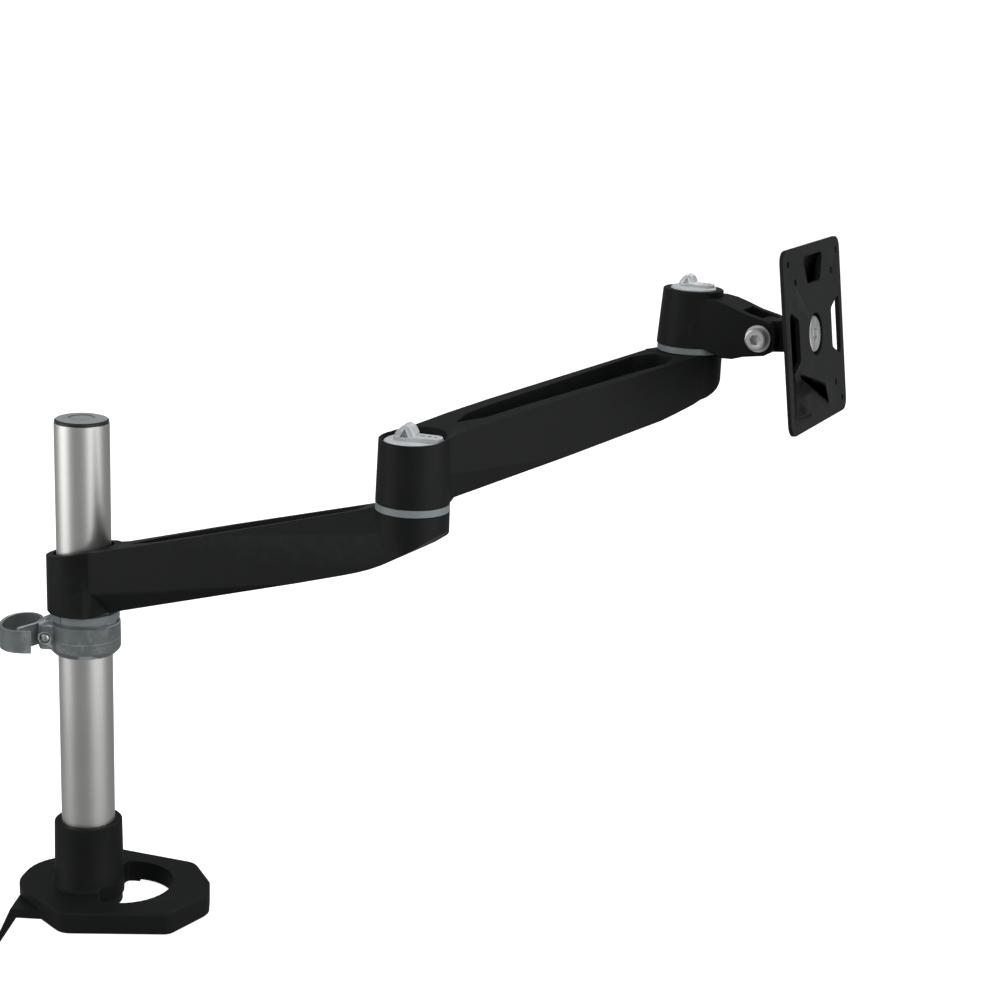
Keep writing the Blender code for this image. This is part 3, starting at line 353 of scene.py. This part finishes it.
def threaded(name, root, crest, pitch, bottom, top):
    """A shank whose radius follows a rolled thread, fading to the root over one pitch at both ends."""
    bm = bmesh.new()
    rows = int((top - bottom) / pitch * ROWS_PER_TURN)
    grid = []
    for i in range(rows + 1):
        z = bottom + (top - bottom) * i / rows
        fade = min(1.0, (z - bottom) / pitch, (top - z) / pitch)
        ring = []
        for k in range(THREAD_SIDES):
            turn = (z / pitch - k / THREAD_SIDES) % 1.0
            ridge = min(1.0, max(0.0, RIDGE_PEAK - abs(turn - 0.5) * RIDGE_FALL))
            r = root + (crest - root) * ridge * fade
            a = math.tau * k / THREAD_SIDES
            ring.append(bm.verts.new((r * math.cos(a), r * math.sin(a), z)))
        grid.append(ring)
    for i in range(rows):
        for k in range(THREAD_SIDES):
            m = (k + 1) % THREAD_SIDES
            bm.faces.new((grid[i][k], grid[i][m], grid[i + 1][m], grid[i + 1][k]))
    bm.faces.new(list(reversed(grid[0])))
    bm.faces.new(grid[-1])
    return mesh_from(bm, name)


# the thread runs the screw's whole height, so it is thicker than the solid in the pad and in the handle
low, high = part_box("clamp_screw")
SCREW_R = (high.x - low.x) / 2.0
thread = threaded("clamp_screw_finished", SCREW_R - THREAD_DEPTH, SCREW_R, THREAD_PITCH, low.z, high.z)
thread = add("clamp_screw_finished", thread, STEEL, "clamp_spindle", shade=60.0)
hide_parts("clamp_screw")


# ------------------------------------------------------------------ marks and ribs on the locking levers
# places on a lever are in lever units: millimetres on a knob of this radius, and in step with a smaller one
LEVER_KNOB_R = 18.4
LEVER_DROP = 9.6
LEVER_FLAT = 2.8
MARK_RELIEF = 0.08 * MM
MINUS = ((3.4, -0.5), (6.6, -0.5), (6.6, 0.5), (3.4, 0.5))
ARROW = ((7.7, -0.4), (9.0, -0.4), (9.0, -1.4), (11.0, 0.0), (9.0, 1.4), (9.0, 0.4), (7.7, 0.4))
DOT_X = 12.9
DOT_R = 0.8
DOT_STEPS = 20

# the thumb rest's slope from foot to crown, seen from the side, and the ribs across it
REST_FOOT = Vector((1.35, 3.75))
REST_CROWN = Vector((-0.95, 8.0))
RIB_SUNK = 0.3
RIB_EDGE = 0.2
RIB_PROUD = 0.45
RIB_SLANT = 0.1
RIB_COUNT = 6
RIB_FIRST = -3.9
RIB_STEP = 1.56
RIB_HALF = 0.3
SIDEWAYS = Matrix(((1, 0, 0, 0), (0, 0, -1, 0), (0, 1, 0, 0), (0, 0, 0, 1)))


def prism(bm, outline, low_z, high_z, place):
    """A straight prism over an outline of (x, y) pairs, put in place by a matrix."""
    bottom = [bm.verts.new(place @ Vector((x, y, low_z))) for x, y in outline]
    top = [bm.verts.new(place @ Vector((x, y, high_z))) for x, y in outline]
    bm.faces.new(list(reversed(bottom)))
    bm.faces.new(top)
    count = len(outline)
    for i in range(count):
        j = (i + 1) % count
        bm.faces.new((bottom[i], bottom[j], top[j], top[i]))


def dot_outline():
    angles = [math.tau * i / DOT_STEPS for i in range(DOT_STEPS)]
    return [(DOT_X + DOT_R * math.cos(a), DOT_R * math.sin(a)) for a in angles]


def rib_outline():
    """A rib seen from the side: sunk into the thumb rest, proud of it, and slanted at both ends."""
    slope = REST_CROWN - REST_FOOT
    outward = Vector((slope.y, -slope.x)).normalized()
    return [REST_FOOT - outward * RIB_SUNK, REST_FOOT + outward * RIB_EDGE,
            REST_FOOT + outward * RIB_PROUD + slope * RIB_SLANT,
            REST_CROWN + outward * RIB_PROUD - slope * RIB_SLANT,
            REST_CROWN + outward * RIB_EDGE, REST_CROWN - outward * RIB_SUNK]


def lever_marks(knob, place, unit):
    """Marks on the lever's flat: a minus, an arrow and a dot."""
    bm = bmesh.new()
    top = LEVER_FLAT * unit
    for shape in (MINUS, ARROW, dot_outline()):
        prism(bm, [(x * unit, y * unit) for x, y in shape], top, top + MARK_RELIEF, place)
    add(knob + "_marks", mesh_from(bm, knob + "_marks"), PRINT, BODY_OF[knob])


def lever_ribs(knob, place, unit):
    """Grip ribs across the lever's thumb rest."""
    bm = bmesh.new()
    outline = [(p.x * unit, p.y * unit) for p in rib_outline()]
    half = RIB_HALF * unit
    for i in range(RIB_COUNT):
        y = (RIB_FIRST + RIB_STEP * i) * unit
        prism(bm, outline, -y - half, -y + half, place @ SIDEWAYS)
    bmesh.ops.recalc_face_normals(bm, faces=bm.faces)
    add(knob + "_ribs", mesh_from(bm, knob + "_ribs"), KNOB, BODY_OF[knob], shade=20.0)


def lever_details(knob, joint, azimuth):
    low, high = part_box(knob)
    unit = (high.x - low.x) / 2.0 / LEVER_KNOB_R
    centre = Vector(JOINT[joint]["pos_m"])
    turned = Matrix.Rotation(math.radians(azimuth), 4, "Z")
    place = Matrix.Translation((centre.x, centre.y, high.z - LEVER_DROP * unit)) @ turned
    lever_marks(knob, place, unit)
    lever_ribs(knob, place, unit)


lever_details("elbow_knob", "elbow_knob_turn", -12.0)
lever_details("wrist_knob", "wrist_knob_turn", -20.0)


# ------------------------------------------------------------------ parting line round the collar
LINE_STEPS = 60
LINE_FROM = -118.0
LINE_TO = 128.0
LINE_HALF = 0.25 * MM
LINE_PROUD = 0.12 * MM
LINE_SUNK = 0.2 * MM
COLLAR_OVER_RING = 0.55 * MM
LINE_AT_SHARE = 0.46


def parting_line(name, radius, low_z, high_z):
    """A thin raised line round part of a vertical cylinder on the pole's axis."""
    section = [(radius - LINE_SUNK, low_z), (radius + LINE_PROUD, low_z + LINE_PROUD),
               (radius + LINE_PROUD, high_z - LINE_PROUD), (radius - LINE_SUNK, high_z)]
    bm = bmesh.new()
    rows = []
    for i in range(LINE_STEPS + 1):
        a = math.radians(LINE_FROM + (LINE_TO - LINE_FROM) * i / LINE_STEPS)
        rows.append([bm.verts.new((r * math.cos(a), r * math.sin(a), z)) for r, z in section])
    count = len(section)
    for i in range(LINE_STEPS):
        for j in range(count):
            m = (j + 1) % count
            bm.faces.new((rows[i][j], rows[i + 1][j], rows[i + 1][m], rows[i][m]))
    bm.faces.new(rows[0])
    bm.faces.new(list(reversed(rows[-1])))
    bmesh.ops.recalc_face_normals(bm, faces=bm.faces)
    add(name, mesh_from(bm, name), COLLAR, "collar", shade=20.0)


low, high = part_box("thrust_ring")
COLLAR_R = (high.x - low.x) / 2.0 + COLLAR_OVER_RING
low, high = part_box("height_collar")
middle = low.z + (high.z - low.z) * LINE_AT_SHARE
parting_line("collar_parting_line", COLLAR_R, middle - LINE_HALF, middle + LINE_HALF)


# ------------------------------------------------------------------ floor
# the desk top ends where the bracket turns down; the ground is below the handle with the clamp fully open
FLOOR_REACH = 300.0
FLOOR_GLOW = 0.93
DESK_EDGE = -40.4 * MM
desk_z = -0.4 * MM
ground_z = CAD_BOX[0].z + min(JOINT["clamp_travel"]["range_m"]) - 4.0 * MM


def pale_floor(name, edge, height):
    """A pale sheet from x = edge outwards, which lights nothing and shows in no reflection."""
    corners = [(edge, -FLOOR_REACH, height), (FLOOR_REACH, -FLOOR_REACH, height),
               (FLOOR_REACH, FLOOR_REACH, height), (edge, FLOOR_REACH, height)]
    mesh = bpy.data.meshes.new(name)
    mesh.from_pydata(corners, [], [(0, 1, 2, 3)])
    obj = bpy.data.objects.new(name, mesh)
    bpy.context.scene.collection.objects.link(obj)
    mat = surface(name, dark=(0.46, 0.46, 0.46), light=(0.48, 0.48, 0.48), rough=(0.9, 0.95),
                  grain=60.0, grain_depth=0.00001)
    shader = mat.node_tree.nodes["Principled BSDF"]
    shader.inputs["Emission Color"].default_value = (1.0, 1.0, 1.0, 1.0)
    shader.inputs["Emission Strength"].default_value = FLOOR_GLOW
    mesh.materials.append(mat)
    obj.visible_glossy = False
    obj.visible_diffuse = False
    obj.visible_shadow = False


pale_floor("desk_top", DESK_EDGE, desk_z)
pale_floor("ground", -FLOOR_REACH, ground_z)


# ------------------------------------------------------------------ light
SKY_COLOUR = (0.97, 0.985, 1.0, 1.0)
SKY_ON_OBJECT = 0.27
SKY_SEEN = 1.1

world = bpy.data.worlds.new("studio")
bpy.context.scene.world = world
world.use_nodes = True
sky = world.node_tree.nodes["Background"]
sky.inputs["Color"].default_value = SKY_COLOUR
seen = node(world.node_tree, "ShaderNodeLightPath").outputs["Is Camera Ray"]
sky_strength = node(world.node_tree, "ShaderNodeMapRange", {
    "Value": seen, "To Min": SKY_ON_OBJECT, "To Max": SKY_SEEN})
world.node_tree.links.new(sky_strength.outputs["Result"], sky.inputs["Strength"])


def softbox(name, where, aim, width, height, watts, glossy=True):
    light = bpy.data.lights.new(name, "AREA")
    light.shape = "RECTANGLE"
    light.size = width
    light.size_y = height
    light.energy = watts
    obj = bpy.data.objects.new(name, light)
    bpy.context.scene.collection.objects.link(obj)
    obj.location = where
    obj.rotation_euler = (Vector(aim) - Vector(where)).to_track_quat("-Z", "Y").to_euler()
    obj.visible_glossy = glossy


def around(azimuth, distance, height):
    a = math.radians(azimuth)
    return (distance * math.cos(a), distance * math.sin(a), height)


softbox("overhead", (0.3, -0.1, 2.6), (0.3, 0.0, 0.0), width=4.0, height=4.0, watts=90.0, glossy=False)
softbox("front", (0.3, -3.2, 1.1), (0.3, 0.0, 0.25), width=2.5, height=2.5, watts=13.0, glossy=False)
softbox("left", around(-157.0, 1.9, 0.62), (0.0, 0.0, 0.62), width=1.5, height=2.0, watts=18.0)
softbox("right", around(-26.0, 1.9, 0.62), (0.0, 0.0, 0.62), width=2.1, height=2.0, watts=25.0)


# ------------------------------------------------------------------ camera
CAMERA_RIGHT = Vector((0.99838903, 0.01550185, 0.05458054))
CAMERA_UP = Vector((-0.05673925, 0.27277191, 0.96040416))
CAMERA_AT = (0.33976, -1.24984, 0.62473)

camera = bpy.data.cameras.new("camera")
camera.sensor_width = 36.0
camera.lens = 72.02
camera.shift_x = -0.1057
camera.shift_y = 0.0488
camera.clip_end = 1000.0
eye = bpy.data.objects.new("camera", camera)
bpy.context.scene.collection.objects.link(eye)
pose = Matrix((CAMERA_RIGHT, CAMERA_UP, CAMERA_RIGHT.cross(CAMERA_UP))).transposed().to_4x4()
pose.translation = CAMERA_AT
eye.matrix_world = pose
bpy.context.scene.camera = eye
bpy.context.scene.view_settings.view_transform = "Standard"
